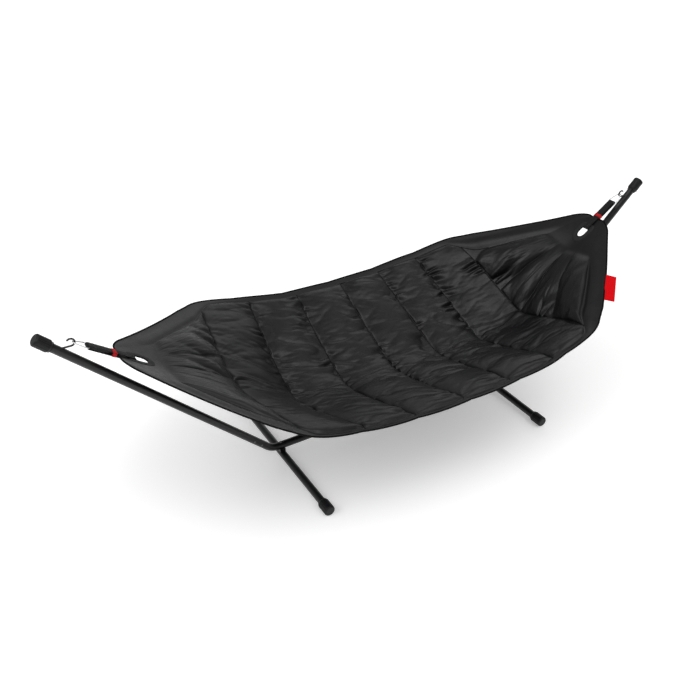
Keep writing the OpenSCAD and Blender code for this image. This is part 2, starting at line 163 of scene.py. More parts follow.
# direction, sharpness and strength of each bright patch
SKY_PATCHES = [((0.20, -0.34, 0.92), 14.0, 3.2), ((-0.66, 0.05, 0.75), 16.0, 3.4),
               ((0.55, 0.62, 0.56), 16.0, 0.9)]
FLOOR_REACH = 40.0  # half its side
FLOOR_DROP = 0.0005  # keeps the floor clear of the feet
FLOOR_GLOW = 0.34  # makes the floor as white as a lit studio sweep


def make_camera():
    level = math.cos(CAMERA_TILT)
    forward = Vector((math.sin(CAMERA_TURN) * level, math.cos(CAMERA_TURN) * level, -math.sin(CAMERA_TILT)))
    data = bpy.data.cameras.new("camera")
    data.lens = LENS_MM
    data.sensor_width = SENSOR_MM
    camera = bpy.data.objects.new("camera", data)
    camera.location = CAMERA_PLACE
    camera.rotation_euler = forward.to_track_quat("-Z", "Y").to_euler()
    bpy.context.scene.collection.objects.link(camera)
    bpy.context.scene.camera = camera


def studio_sky(tree, everywhere, patches):
    """Even white light with broad bright patches, each a direction, a sharpness and a strength."""
    background = tree.nodes["Background"]
    background.inputs["Color"].default_value = (1.0, 1.0, 1.0, 1.0)
    direction = tree.nodes.new("ShaderNodeTexCoord").outputs["Generated"]
    light = everywhere
    for towards, sharpness, strength in patches:
        facing = tree.nodes.new("ShaderNodeVectorMath")
        facing.operation = "DOT_PRODUCT"
        facing.inputs[1].default_value = Vector(towards).normalized()
        tree.links.new(direction, facing.inputs[0])
        ahead = combine(tree, "MAXIMUM", facing.outputs["Value"], 0.0)
        patch = combine(tree, "MULTIPLY", combine(tree, "POWER", ahead, sharpness), strength)
        light = combine(tree, "ADD", patch, light)
    tree.links.new(light, background.inputs["Strength"])


def make_studio():
    scene = bpy.context.scene
    scene.view_settings.view_transform = "Standard"
    world = bpy.data.worlds.new("studio")
    world.use_nodes = True
    studio_sky(world.node_tree, SKY_LIGHT, SKY_PATCHES)
    scene.world = world
    r = FLOOR_REACH
    floor = mesh_object("floor", [(-r, -r, 0), (r, -r, 0), (r, r, 0), (-r, r, 0)], [(0, 1, 2, 3)])
    floor.location.z = cad_box[0][2] - FLOOR_DROP
    material, shader, _ = new_material("floor_white", (0.93, 0.93, 0.93), 0.42)
    shader.inputs["Specular IOR Level"].default_value = 0.35
    shader.inputs["Emission Color"].default_value = (1.0, 1.0, 1.0, 1.0)
    shader.inputs["Emission Strength"].default_value = FLOOR_GLOW
    floor.data.materials.append(material)


# ---------- small helpers for meshes ----------

def mesh_object(name, points, faces, smooth=False):
    mesh = bpy.data.meshes.new(name)
    mesh.from_pydata([tuple(p) for p in points], [], [tuple(f) for f in faces])
    mesh.update()
    if smooth:
        mesh.polygons.foreach_set("use_smooth", np.ones(len(mesh.polygons), bool))
    made = bpy.data.objects.new(name, mesh)
    bpy.context.scene.collection.objects.link(made)
    return made


def points_of(mesh):
    found = np.zeros(len(mesh.vertices) * 3)
    mesh.vertices.foreach_get("co", found)
    return found.reshape(-1, 3)


def unit(vectors):
    return vectors / np.maximum(np.linalg.norm(vectors, axis=-1, keepdims=True), 1e-12)


def sweep(path, outline, sides, closed=True, ups=None):
    """Points and faces of an outline of (a, b) pairs carried along a path: a along sides, b along ups."""
    count, around = len(path), len(outline)
    points = [path[i] + a * sides[i] + b * ups[i] for i in range(count) for a, b in outline]
    runs = count if closed else count - 1
    faces = [(i * around + k, i * around + (k + 1) % around,
              (i + 1) % count * around + (k + 1) % around, (i + 1) % count * around + k)
             for i in range(runs) for k in range(around)]
    if not closed:
        faces.append(tuple(range(around))[::-1])
        faces.append(tuple((count - 1) * around + k for k in range(around)))
    return points, faces


def oval_outline(half_a, half_b, sides):
    turns = [math.tau * k / sides for k in range(sides)]
    return [(half_a * math.cos(t), half_b * math.sin(t)) for t in turns]


def band_outline(width, thickness):
    """A flat band's section with rounded edges, as (a, b) points all the way round."""
    half, r = width / 2 - thickness / 2, thickness / 2
    right_turns = np.linspace(-math.pi / 2, math.pi / 2, 5)
    left_turns = np.linspace(math.pi / 2, 3 * math.pi / 2, 5)
    right = [(half + r * math.cos(t), r * math.sin(t)) for t in right_turns]
    left = [(-half + r * math.cos(t), r * math.sin(t)) for t in left_turns]
    return right + left


# ---------- materials ----------

def new_material(name, colour, roughness, metallic=0.0):
    material = bpy.data.materials.new(name)
    material.use_nodes = True
    tree = material.node_tree
    shader = tree.nodes["Principled BSDF"]
    shader.inputs["Base Color"].default_value = (*colour, 1.0)
    shader.inputs["Roughness"].default_value = roughness
    shader.inputs["Metallic"].default_value = metallic
    return material, shader, tree


def coordinates(tree, kind="Object", scale=(1.0, 1.0, 1.0)):
    """Texture coordinates, scaled: kind is Object, or UV for the cloth's own flat metres."""
    source = tree.nodes.new("ShaderNodeTexCoord")
    mapping = tree.nodes.new("ShaderNodeMapping")
    mapping.inputs["Scale"].default_value = scale
    tree.links.new(source.outputs[kind], mapping.inputs["Vector"])
    return mapping.outputs["Vector"]


def noise(tree, vector, scale, detail=3.0, distortion=0.0):
    node = tree.nodes.new("ShaderNodeTexNoise")
    node.inputs["Scale"].default_value = scale
    node.inputs["Detail"].default_value = detail
    node.inputs["Distortion"].default_value = distortion
    tree.links.new(vector, node.inputs["Vector"])
    return node.outputs["Fac"]


def waves(tree, vector, scale, direction, distortion=0.0):
    node = tree.nodes.new("ShaderNodeTexWave")
    node.bands_direction = direction
    node.inputs["Scale"].default_value = scale
    node.inputs["Distortion"].default_value = distortion
    tree.links.new(vector, node.inputs["Vector"])
    return node.outputs["Fac"]


def combine(tree, operation, first, second):
    node = tree.nodes.new("ShaderNodeMath")
    node.operation = operation
    for socket, value in zip(node.inputs, (first, second)):
        if isinstance(value, float):
            socket.default_value = value
        else:
            tree.links.new(value, socket)
    return node.outputs["Value"]


def bump(tree, shader, height, strength, distance, before=None):
    node = tree.nodes.new("ShaderNodeBump")
    node.inputs["Strength"].default_value = strength
    node.inputs["Distance"].default_value = distance
    tree.links.new(height, node.inputs["Height"])
    if before is not None:
        tree.links.new(before, node.inputs["Normal"])
    tree.links.new(node.outputs["Normal"], shader.inputs["Normal"])
    return node.outputs["Normal"]


def ramp(tree, factor, stops, socket):
    """Colours (or greys) along a factor, linked into a shader's socket."""
    node = tree.nodes.new("ShaderNodeValToRGB")
    elements = node.color_ramp.elements
    while len(elements) < len(stops):
        elements.new(0.5)
    for element, (place, value) in zip(elements, stops):
        element.position = place
        element.color = (*value, 1.0) if hasattr(value, "__len__") else (value, value, value, 1.0)
    tree.links.new(factor, node.inputs["Fac"])
    tree.links.new(node.outputs["Color"], socket)


def powder_coat():
    material, shader, tree = new_material("black_powder_coat", (0.005, 0.005, 0.006), 0.34)
    place = coordinates(tree)
    shader.inputs["Specular IOR Level"].default_value = 0.36
    shader.inputs["Coat Weight"].default_value = 0.12
    shader.inputs["Coat Roughness"].default_value = 0.3
    ramp(tree, noise(tree, place, 9.0), [(0.3, (0.004, 0.004, 0.005)), (0.7, (0.007, 0.007, 0.008))],
         shader.inputs["Base Color"])
    ramp(tree, noise(tree, place, 60.0), [(0.3, 0.29), (0.7, 0.40)], shader.inputs["Roughness"])
    peel = bump(tree, shader, noise(tree, place, 900.0, 2.0), 0.12, 0.0004)
    bump(tree, shader, noise(tree, place, 14.0, 1.0), 0.10, 0.0008, peel)
    return material


def hook_paint():
    material, shader, tree = new_material("black_hook_rod", (0.010, 0.010, 0.011), 0.3)
    place = coordinates(tree)
    ramp(tree, noise(tree, place, 120.0), [(0.35, 0.24), (0.7, 0.38)], shader.inputs["Roughness"])
    bump(tree, shader, noise(tree, place, 700.0), 0.15, 0.0004)
    return material


def cap_plastic():
    material, shader, tree = new_material("black_cap_plastic", (0.004, 0.004, 0.005), 0.45)
    shader.inputs["Specular IOR Level"].default_value = 0.30
    place = coordinates(tree)
    ramp(tree, noise(tree, place, 25.0), [(0.3, (0.003, 0.003, 0.004)), (0.7, (0.006, 0.006, 0.007))],
         shader.inputs["Base Color"])
    ramp(tree, noise(tree, place, 220.0), [(0.3, 0.38), (0.7, 0.52)], shader.inputs["Roughness"])
    bump(tree, shader, noise(tree, place, 1400.0, 4.0), 0.25, 0.0005)
    return material


def zinc_steel():
    material, shader, tree = new_material("zinc_steel", (0.16, 0.16, 0.17), 0.40, 1.0)
    place = coordinates(tree)
    ramp(tree, noise(tree, place, 260.0), [(0.3, 0.34), (0.7, 0.50)], shader.inputs["Roughness"])
    ramp(tree, noise(tree, place, 90.0), [(0.3, (0.13, 0.13, 0.14)), (0.7, (0.20, 0.20, 0.20))],
         shader.inputs["Base Color"])
    return material


def ring_wire():
    material, shader, tree = new_material("bright_ring_wire", (0.80, 0.80, 0.82), 0.16, 1.0)
    place = coordinates(tree)
    ramp(tree, noise(tree, place, 180.0), [(0.3, 0.12), (0.7, 0.24)], shader.inputs["Roughness"])
    bump(tree, shader, noise(tree, place, 500.0), 0.05, 0.0003)
    return material


WAVE_SCALE = math.tau / 20  # scale at which the wave texture makes one band a metre


def woven_band(name, dark, light, ribs_per_m=380.0, gloss=0.22):
    """Webbing: ribs along the band (U runs along it, V across it) with crossing threads."""
    material, shader, tree = new_material(name, dark, 0.62)
    shader.inputs["Specular IOR Level"].default_value = gloss
    place = coordinates(tree, "UV")
    across = waves(tree, place, ribs_per_m * WAVE_SCALE, "Y", 0.4)
    along = waves(tree, place, ribs_per_m * 1.9 * WAVE_SCALE, "X", 0.6)
    weave = combine(tree, "MULTIPLY", across, combine(tree, "ADD", 0.35, along))
    speckle = noise(tree, place, 160.0, 4.0)
    ramp(tree, combine(tree, "MULTIPLY", weave, combine(tree, "ADD", 0.5, speckle)),
         [(0.05, dark), (0.9, light)], shader.inputs["Base Color"])
    bump(tree, shader, weave, 0.7, 0.0007)
    return material


def satin_cloth(name, dark, light, roughness=(0.30, 0.38), gloss=0.30):
    """Close polyester cloth: fine crossed threads, soft gloss, and faint creases too small to model."""
    material, shader, tree = new_material(name, dark, 0.5)
    shader.inputs["Specular IOR Level"].default_value = gloss
    flat = coordinates(tree, "UV")
    warp = waves(tree, flat, 420.0, "X", 0.3)
    weft = waves(tree, flat, 420.0, "Y", 0.3)
    weave = combine(tree, "ADD", warp, weft)
    shade = noise(tree, flat, 7.0, 4.0, 0.4)
    ramp(tree, shade, [(0.3, dark), (0.72, light)], shader.inputs["Base Color"])
    ramp(tree, noise(tree, flat, 38.0, 3.0), [(0.3, roughness[0]), (0.7, roughness[1])],
         shader.inputs["Roughness"])
    fine = bump(tree, shader, weave, 0.10, 0.0003)
    creases = noise(tree, coordinates(tree, "UV", (1.0, 0.35, 1.0)), 42.0, 5.0, 1.4)
    small = bump(tree, shader, creases, 0.12, 0.0030, fine)
    folds = noise(tree, coordinates(tree, "UV", (0.5, 1.0, 1.0)), 17.0, 4.0, 0.8)
    bump(tree, shader, folds, 0.08, 0.008, small)
    return material


# ---------- the cloth's surface ----------

def soft_min(a, b, k):
    return (a + b - np.sqrt((a - b) ** 2 + k * k)) / 2


def soft_max(a, b, k):
    return (a + b + np.sqrt((a - b) ** 2 + k * k)) / 2


def pull_z(x):
    """Height of the straight line that a strap pulls along."""
    return SWING_Z - math.tan(STRAP_A) * (CONTACT_X - np.abs(x))


def hill(x, middle, reach):
    """1 at the middle, easing to 0 a reach away."""
    t = np.clip(np.abs(x - middle) / reach, 0, 1)
    return (1 - t * t) ** 2


def edge_y(x, side):
    """Half width of the cloth at x, towards the back (side 1) or the front (side -1)."""
    away = TIP_X - np.abs(x)
    half = soft_min(CLOTH_HALF_W, TIP_HALF_W + away * EDGE_TAPER, EDGE_BLEND)
    half = half + BACK_BULGE * hill(x, BACK_BULGE_X, BULGE_REACH) * (side > 0)
    half = half - WAIST * hill(x, WAIST_X, BULGE_REACH)
    drawn = 1 - np.abs(np.sin(math.pi * x / PANEL_W)) ** 0.6
    half = half - SCALLOP * drawn * (np.abs(x) < OUTER_SEAM_X + 0.05)
    turn = np.clip(1 - away / TIP_CORNER_R, 0, 1)
    return half - TIP_CORNER_R * (1 - np.sqrt(1 - turn * turn))


def edge_z(x):
    rise = pull_z(TIP_X) + TIP_RISE - EDGE_MID_Z
    return EDGE_MID_Z + rise * (np.abs(x) / TIP_X) ** EDGE_RISE_POWER


def valley_z(x):
    slope = pull_z(TIP_BEND_X) - (TIP_BEND_X - x) * RIGHT_RISE
    left = pull_z(x) - LEFT_SAG * np.clip((TIP_BEND_X + x) / SAG_RUN, 0, 1)
    climb = np.where(x < 0, left, soft_min(pull_z(x), slope, BEND_BLEND))
    return soft_max(VALLEY_MID_Z, climb, VALLEY_BLEND)


def vee(v):
    """Rounded V from 0 in the valley to 1 at the edges."""
    return (np.hypot(v, VALLEY_ROUND) - VALLEY_ROUND) / (math.hypot(1, VALLEY_ROUND) - VALLEY_ROUND)


def cloth_surface(u, v):
    """Place of the cloth's middle at seam place u and share v of the half width."""
    bow = soft_min(SEAM_BOW * np.abs(u), BOW_LIMIT * (TIP_X - np.abs(u)), BOW_BLEND)
    lean = 1 - np.abs(u) / TIP_X
    x = u - np.sign(u) * bow * v * v + (SEAM_SKEW * v + SEAM_SHIFT) * lean
    x = np.clip(x, -TIP_X, TIP_X)
    valley = valley_z(u)
    z = valley + (edge_z(x) - valley) * vee(v)
    return np.stack([x, v * edge_y(x, np.sign(v)), z], axis=-1)


# ---------- the grid of the quilt ----------

CELLS_PER_PANEL = 30  # columns between two seams
CELLS_PER_END = 50
CELLS_PER_TIP = 9
HEM_CELLS = 7
ROWS_INSIDE = 236


def closer_at_ends(count, share):
    """Steps from 0 to 1 that are closer together near both ends."""
    even = np.linspace(0, 1, count + 1)
    return even - share * np.sin(math.tau * even) / math.tau


def column_places():
    """Seam places u of the grid's columns, closer together beside the seams and round the tips' corners."""
    panel = closer_at_ends(CELLS_PER_PANEL, 0.6)[:-1]
    inner = np.concatenate([(k + panel) * PANEL_W for k in range(-3, 3)] + [[OUTER_SEAM_X]])
    end = OUTER_SEAM_X + (TIP_X - TIP_CORNER_R - OUTER_SEAM_X) * closer_at_ends(CELLS_PER_END, 0.5)[1:]
    turns = np.arange(1, CELLS_PER_TIP + 1) / CELLS_PER_TIP * math.pi / 2
    tip = TIP_X - TIP_CORNER_R * (1 - np.sin(turns))
    out = np.concatenate([end, tip])
    return np.concatenate([-out[::-1], inner, out])


def hem_share(u):
    """Share of the half width that the hem takes: wider on the slanting edges, where it is a padded roll."""
    slant = np.clip((np.abs(u) - OUTER_SEAM_X + 0.06) / 0.12, 0, 1)
    slant = slant * slant * (3 - 2 * slant)
    across = HEM_W + (END_HEM_W * math.hypot(1, EDGE_TAPER) - HEM_W) * slant
    return np.minimum(across / edge_y(u, 1.0), HEM_SHARE_LIMIT)


U = column_places()
COLUMNS = len(U)
SEAM_COLUMNS = [CELLS_PER_TIP + CELLS_PER_END + k * CELLS_PER_PANEL for k in range(7)]
ROWS = ROWS_INSIDE + 2 * HEM_CELLS + 1


def grid_shares():
    """v of every grid point, as columns by rows: hem rows first, then the inside, then the other hem."""
    hem = hem_share(U)[:, None]
    low = -1 + hem * np.linspace(0, 1, HEM_CELLS + 1)[None, :]
    inside = np.linspace(-1, 1, ROWS_INSIDE + 1)[None, 1:-1] * (1 - hem)
    return np.concatenate([low, inside, -low[:, ::-1]], axis=1)


V = grid_shares()
U_GRID = np.repeat(U[:, None], ROWS, axis=1)
BASE = cloth_surface(U_GRID, V)


def surface_normals(points):
    along = np.gradient(points, axis=0)
    across = np.gradient(points, axis=1)
    return unit(np.cross(along, across))


NORMALS = surface_normals(BASE)


def flat_metres(points):
    """The cloth laid flat: metres along the hammock and from the valley, for the weave's coordinates."""
    steps = np.linalg.norm(np.diff(points, axis=1), axis=-1)
    run = np.concatenate([np.zeros((COLUMNS, 1)), np.cumsum(steps, axis=1)], axis=1)
    return np.stack([U_GRID, run - run[:, ROWS // 2:ROWS // 2 + 1]], axis=-1)


FLAT = flat_metres(BASE)


def grid_faces(skip=None):
    """Quads of the grid, as point numbers, leaving out the cells where skip is true."""
    index = np.arange(COLUMNS * ROWS).reshape(COLUMNS, ROWS)
    quads = np.stack([index[:-1, :-1], index[1:, :-1], index[1:, 1:], index[:-1, 1:]], axis=-1)
    quads = quads if skip is None else quads[~skip]
    return quads.reshape(-1, 4)


# ---------- padding: where the cloth is held, and how far it stands out ----------

def share_between_seams():
    """0 at a seam and 1 at the next, for every column."""
    lines = np.concatenate([[-PATCH_X], np.array([U[c] for c in SEAM_COLUMNS]), [PATCH_X]])
    place = np.clip(np.searchsorted(lines, U, side="right") - 1, 0, len(lines) - 2)
    return np.clip((U - lines[place]) / (lines[place + 1] - lines[place]), 0, 1)


def smooth_noise(seed, cells_u, cells_v):
    """Seeded random heights on a coarse grid, eased over the fine one: about -1 to 1."""
    rng = np.random.default_rng(seed)
    coarse = rng.uniform(-1, 1, (cells_u + 3, cells_v + 3))
    a = np.linspace(0, cells_u, COLUMNS)
    b = np.linspace(0, cells_v, ROWS)
    ia, ib = a.astype(int), b.astype(int)
    fa, fb = a - ia, b - ib
    fa, fb = (fa * fa * (3 - 2 * fa))[:, None], (fb * fb * (3 - 2 * fb))[None, :]
    c00, c10 = coarse[np.ix_(ia, ib)], coarse[np.ix_(ia + 1, ib)]
    c01, c11 = coarse[np.ix_(ia, ib + 1)], coarse[np.ix_(ia + 1, ib + 1)]
    return (c00 * (1 - fa) + c10 * fa) * (1 - fb) + (c01 * (1 - fa) + c11 * fa) * fb


ROWS_TO_RISE = 7.0


def inside_share():
    """0 on the stitch lines beside the hem and outside them, 1 well inside."""
    rows = np.minimum(np.arange(ROWS), np.arange(ROWS)[::-1])
    run = np.clip((rows - HEM_CELLS) / ROWS_TO_RISE, 0, 1)
    return np.sqrt(1 - (1 - run) ** 2)[None, :]


def ripple(x, y, seed):
    """Smooth seeded random heights over any places x, y: about -1 to 1, with features about 1 wide."""
    table = np.random.default_rng(seed).uniform(-1, 1, (64, 64))
    x, y = np.broadcast_arrays(x, y)
    i, j = np.floor(x).astype(int), np.floor(y).astype(int)
    f, g = x - i, y - j
    f, g = f * f * (3 - 2 * f), g * g * (3 - 2 * g)

    def at(di, dj):
        return table[(i + di) % 64, (j + dj) % 64]

    return (at(0, 0) * (1 - f) + at(1, 0) * f) * (1 - g) + (at(0, 1) * (1 - f) + at(1, 1) * f) * g


CREASE_REACH = 0.058  # how far the creases run out from a seam, and how much that varies
CREASE_REACH_SPREAD = 0.036
CREASE_RISE = 0.004  # the groove beside the stitches stays clean over this distance
FRONT_CALM = 0.7  # the front half is smoother


def seam_creases():
    """Short creases that run out from each seam: sharp valleys between round ridges, fading with distance."""
    total = np.zeros((COLUMNS, ROWS))
    down = FLAT[:, :, 1]
    for number, column in enumerate(SEAM_COLUMNS):
        for side in (-1, 1):
            away = (side * (U - U[column]))[:, None]
            near = np.clip(away, 0, None)
            seed = 100 + 10 * number + side
            sway = 0.5 * ripple(down / 0.11, near / 0.07, seed) + 0.25 * side * near / 0.04
            outside = side * U[column] > OUTER_SEAM_X - 0.001
            step, longer = (END_CREASE_STEP, END_CREASE_LONGER) if outside else (CREASE_STEP, 1.0)
            ridge = np.abs(ripple(down / step + sway, near / 0.20, seed + 3)) ** 0.65
            reach = longer * (CREASE_REACH + CREASE_REACH_SPREAD * ripple(down / 0.06, near * 0, seed + 5))
            patchy = np.clip(0.60 + 1.1 * ripple(down / 0.11, near * 0, seed + 7), 0.05, 1.3)
            depth = CREASE_DEPTH * longer * patchy * np.where(down > 0, 1.0, FRONT_CALM)
            depth = depth * (LEFT_END_CALM if outside and side < 0 else 1.0)
            fade = near / (near + CREASE_RISE) * np.exp(-(near / reach) ** 1.6)
            total -= np.where(away > 0, depth * np.clip(1 - 1.5 * ridge, -0.5, 1) * fade, 0)
    return total


def channel_folds():
    """Longer slack folds that cross the channels, and the fold along the valley."""
    along, down = FLAT[:, :, 0], FLAT[:, :, 1]
    slant = ripple((down + 0.35 * along) / 0.12, (along - 0.2 * down) / 0.24, 51)
    other = ripple((down - 0.50 * along) / 0.075, (along + 0.3 * down) / 0.18, 57)
    loose = FOLD_HEIGHT * (np.abs(slant) ** 0.7 - 0.45) + 0.5 * FOLD_HEIGHT * (np.abs(other) ** 0.7 - 0.45)
    loose = loose * np.where(down > 0, 1.0, FRONT_CALM)
    wander = VALLEY_WANDER * ripple(along / 0.12, down * 0, 47)
    uneven = 0.6 + 0.5 * ripple(along / 0.09, down * 0, 49)
    valley = np.exp(-((down - wander) / VALLEY_FOLD_W) ** 2) * uneven
    return loose - VALLEY_FOLD * valley * (np.abs(along) < OUTER_SEAM_X)


def end_folds():
    """Slack folds that fan out from each hole and end as pillows at the outer seam."""
    reach = np.abs(BASE[:, :, 0])
    end = np.sign(BASE[:, :, 0])
    angle = np.arctan2(BASE[:, :, 1], HOLE_X + FAN_SHIFT - reach)
    sway = 0.9 * ripple(reach / 0.22, angle * 1.6 + end, 31) + 0.10 * ripple(reach / 0.06, angle * 3, 33)
    fan = np.abs(np.sin(angle * FAN_TURNS + sway + 0.4)) ** 0.6
    cross = np.abs(ripple((reach + 0.5 * BASE[:, :, 1]) / 0.16, BASE[:, :, 1] / 0.12, 37))
    start = np.clip((HOLE_X - FAN_SHIFT - reach) / FAN_RISE, 0, 1)
    height = np.where(end > 0, END_FOLD_RIGHT, END_FOLD_LEFT)
    return height * (fan + 0.25 * cross - 0.60) * start * (np.abs(U_GRID) > OUTER_SEAM_X)


def start_heights():
    """How far the padded cloth stands above its middle surface before the simulation."""
    across = np.sin(math.pi * share_between_seams())[:, None]
    swell = PUFF * across ** PUFF_POWER
    rough = ROUGHNESS * smooth_noise(5, 120, 90)
    slack = seam_creases() + (channel_folds() + end_folds() + rough) * across ** 0.35
    inside = inside_share()
    heights = np.maximum((swell + slack) * inside, 0.0004 * (across > 0.02) * inside)
    return SEAM_HALF_T + heights + hem_heights()


def hem_heights():
    """The slanting edges' padded roll: a flat strip at the rim, then a soft roll up to the stitch line."""
    rows = np.minimum(np.arange(ROWS), np.arange(ROWS)[::-1])
    share = rows / HEM_CELLS
    roll = np.where((share > 0.33) & (share < 1), np.sin(math.pi * (share - 0.33) / 0.67), 0)[None, :]
    reach = np.abs(U)
    slant = np.clip((reach - OUTER_SEAM_X + 0.04) / 0.10, 0, 1) * np.clip((ROLL_END_X - reach) / 0.10, 0, 1)
    flat_hem = np.where(share < 1, np.sin(math.pi * np.clip(share, 0, 1)), 0)[None, :]
    return slant[:, None] * ROLL_HEIGHT * roll + (1 - slant[:, None]) * HEM_HEIGHT * flat_hem


HOLD_BY_FILLING = 0.005  # pin weight of the free cloth
HOLD_AT_CROWN = 0.012  # more of it where a channel is thickest


def pin_weights():
    """1 along every line of stitching, small elsewhere: the filling only steadies the cloth."""
    middle = np.sin(math.pi * share_between_seams())[:, None]
    weights = HOLD_BY_FILLING + HOLD_AT_CROWN * middle * inside_share()
    weights[np.abs(U) > PATCH_X, :] = 1.0
    for column in SEAM_COLUMNS:
        weights[column, HEM_CELLS:ROWS - HEM_CELLS] = 1.0
    for row in (0, 1, 2, HEM_CELLS, ROWS - 1 - HEM_CELLS, ROWS - 3, ROWS - 2, ROWS - 1):
        weights[:, row] = 1.0
    return weights


SPARE_ALONG = 0.09  # spare cloth along the seams, which makes the short creases beside them
SPARE_ACROSS = 0.04  # the same across the channels
SIM_FRAMES = 14


def padded_top():
    """Grid of points of the top cover after the cloth simulation."""
    start = BASE + NORMALS * start_heights()[:, :, None]
    piece = mesh_object("quilt_sim", start.reshape(-1, 3), grid_faces())
    piece.shape_key_add(name="hung")
    cut = piece.shape_key_add(name="cut")
    spread = BASE * np.array([1 + SPARE_ACROSS, 1 + SPARE_ALONG, 1 + SPARE_ALONG])
    cut.data.foreach_set("co", spread.reshape(-1))
    pins = piece.vertex_groups.new(name="pins")
    weights = pin_weights().reshape(-1)
    for level in np.unique(np.round(weights, 3)):
        members = np.nonzero(np.abs(weights - level) < 5e-4)[0].tolist()
        pins.add(members, float(level), "REPLACE")
    cloth = piece.modifiers.new("cloth", "CLOTH")
    settings = cloth.settings
    settings.quality = 5
    settings.mass = 0.2
    settings.air_damping = 4
    settings.tension_stiffness = 30
    settings.compression_stiffness = 30
    settings.shear_stiffness = 10
    settings.bending_stiffness = 0.01
    settings.use_pressure = True
    settings.uniform_pressure_force = 0.6
    settings.vertex_group_mass = pins.name
    settings.pin_stiffness = 1.0
    settings.rest_shape_key = cut
    settings.effector_weights.gravity = 0
    cloth.collision_settings.use_collision = False
    cloth.point_cache.frame_start = 1
    cloth.point_cache.frame_end = SIM_FRAMES
    scene = bpy.context.scene
    for number in range(1, SIM_FRAMES + 1):
        scene.frame_set(number)
    settled = piece.evaluated_get(bpy.context.evaluated_depsgraph_get())
    points = points_of(settled.to_mesh()).reshape(COLUMNS, ROWS, 3)
    settled.to_mesh_clear()
    bpy.data.objects.remove(piece)
    scene.frame_set(1)
    return points


# ---------- the hole at each end, where the strap goes through ----------

HOLE_HALF_L = 0.026
HOLE_HALF_W = 0.023
HOLE_ROUND_POWER = 2.2  # power of the outline on the side of the valley, where 2 is an ellipse
HOLE_SQUARE_POWER = 5.0  # the same on the strap's side, which is nearly straight


def hole_reach(outward, across):
    """1 on the hole's outline, less inside it; both are metres from its middle, outward towards the tip."""
    power = np.where(outward > 0, HOLE_SQUARE_POWER, HOLE_ROUND_POWER)
    return ((np.abs(outward) / HOLE_HALF_L) ** power + (np.abs(across) / HOLE_HALF_W) ** power) ** (1 / power)


def hole_cells():
    """True for the cells of the grid that lie inside a hole."""
    middles = (FLAT[:-1, :-1] + FLAT[1:, 1:]) / 2
    left, right = [hole_reach(side * middles[..., 0] - HOLE_X, middles[..., 1]) for side in (-1, 1)]
    return np.minimum(left, right) < 1


def with_shaped_holes(points, skipped):
    """Moves the points round each cut-out onto the hole's outline, along the cloth."""
    near = np.zeros((COLUMNS, ROWS), int)
    for across in (slice(0, -1), slice(1, None)):
        for down in (slice(0, -1), slice(1, None)):
            near[across, down] += skipped
    rim = (near > 0) & (near < 4)
    along = unit(np.gradient(points, axis=0))
    over = unit(np.gradient(points, axis=1))
    made = points.copy()
    for i, j in zip(*np.nonzero(rim)):
        side = math.copysign(1, U[i])
        a, b = FLAT[i, j, 0] - side * HOLE_X, FLAT[i, j, 1]
        grow = 1 / hole_reach(side * a, b) - 1
        made[i, j] += along[i, j] * a * grow + over[i, j] * b * grow
    return made


def on_cloth(points, normals, u, across, lift=0.0):
    """Points on the cloth at seam places u and metres across from the valley, lifted along the normal."""
    column = np.interp(u, U, np.arange(COLUMNS))
    i = np.minimum(column.astype(int), COLUMNS - 2)
    row = np.array([np.interp(w, FLAT[c, :, 1], np.arange(ROWS)) for c, w in zip(i, across)])
    j = np.minimum(row.astype(int), ROWS - 2)
    f, g = (column - i)[:, None], (row - j)[:, None]

    def between(grid):
        low = grid[i, j] * (1 - f) + grid[i + 1, j] * f
        high = grid[i, j + 1] * (1 - f) + grid[i + 1, j + 1] * f
        return low * (1 - g) + high * g

    facing = unit(between(normals))
    return between(points) + facing * lift, facing


# ---------- pieces of the hammock ----------

def finish_piece(piece, material, slot, *nodes, body="hammock"):
    piece.data.materials.clear()
    piece.data.materials.append(material)
    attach(piece, body)
    if nodes:
        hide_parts(*nodes)
    return piece


def lay_uv(mesh, flat):
    """Flat metres as UVs, from one pair for each point."""
    corners = np.zeros(len(mesh.loops), int)
    mesh.loops.foreach_get("vertex_index", corners)
    mesh.uv_layers.new(name="flat").data.foreach_set("uv", np.asarray(flat)[corners].reshape(-1))


def subdivide(piece, levels=1):
    modifier = piece.modifiers.new("fine", "SUBSURF")
    modifier.levels = levels
    modifier.render_levels = levels
    modifier.boundary_smooth = "PRESERVE_CORNERS"


def keep_seams_sharp(piece):
    """Creases the edges that lie along the seams, so that the groove stays narrow when subdivided."""
    mesh = piece.data
    seams = np.isin(np.round(points_uv(mesh), 5), np.round(U[SEAM_COLUMNS], 5))
    ends = np.zeros(len(mesh.edges) * 2, int)
    mesh.edges.foreach_get("vertices", ends)
    both = seams[ends].reshape(-1, 2).all(axis=1)
    crease = mesh.attributes.new("crease_edge", "FLOAT", "EDGE")
    crease.data.foreach_set("value", both.astype(np.float32) * 0.8)


def points_uv(mesh):
    """The flat place along the hammock of every point, read back from its corners' UVs."""
    corners = np.zeros(len(mesh.loops), int)
    mesh.loops.foreach_get("vertex_index", corners)
    flat = np.zeros(len(mesh.loops) * 2)
    mesh.uv_layers["flat"].data.foreach_get("uv", flat)
    found = np.zeros(len(mesh.vertices))
    found[corners] = flat[::2]
    return found


def cover(name, points, skipped, flip=False):
    faces = grid_faces(skipped)
    if flip:
        faces = faces[:, ::-1]
    piece = mesh_object(name, points.reshape(-1, 3), faces, smooth=True)
    lay_uv(piece.data, FLAT.reshape(-1, 2))
    remove_loose(piece.data)
    return piece


def remove_loose(mesh):
    work = bmesh.new()
    work.from_mesh(mesh)
    bmesh.ops.delete(work, geom=[p for p in work.verts if not p.link_faces], context="VERTS")
    work.to_mesh(mesh)
    work.free()


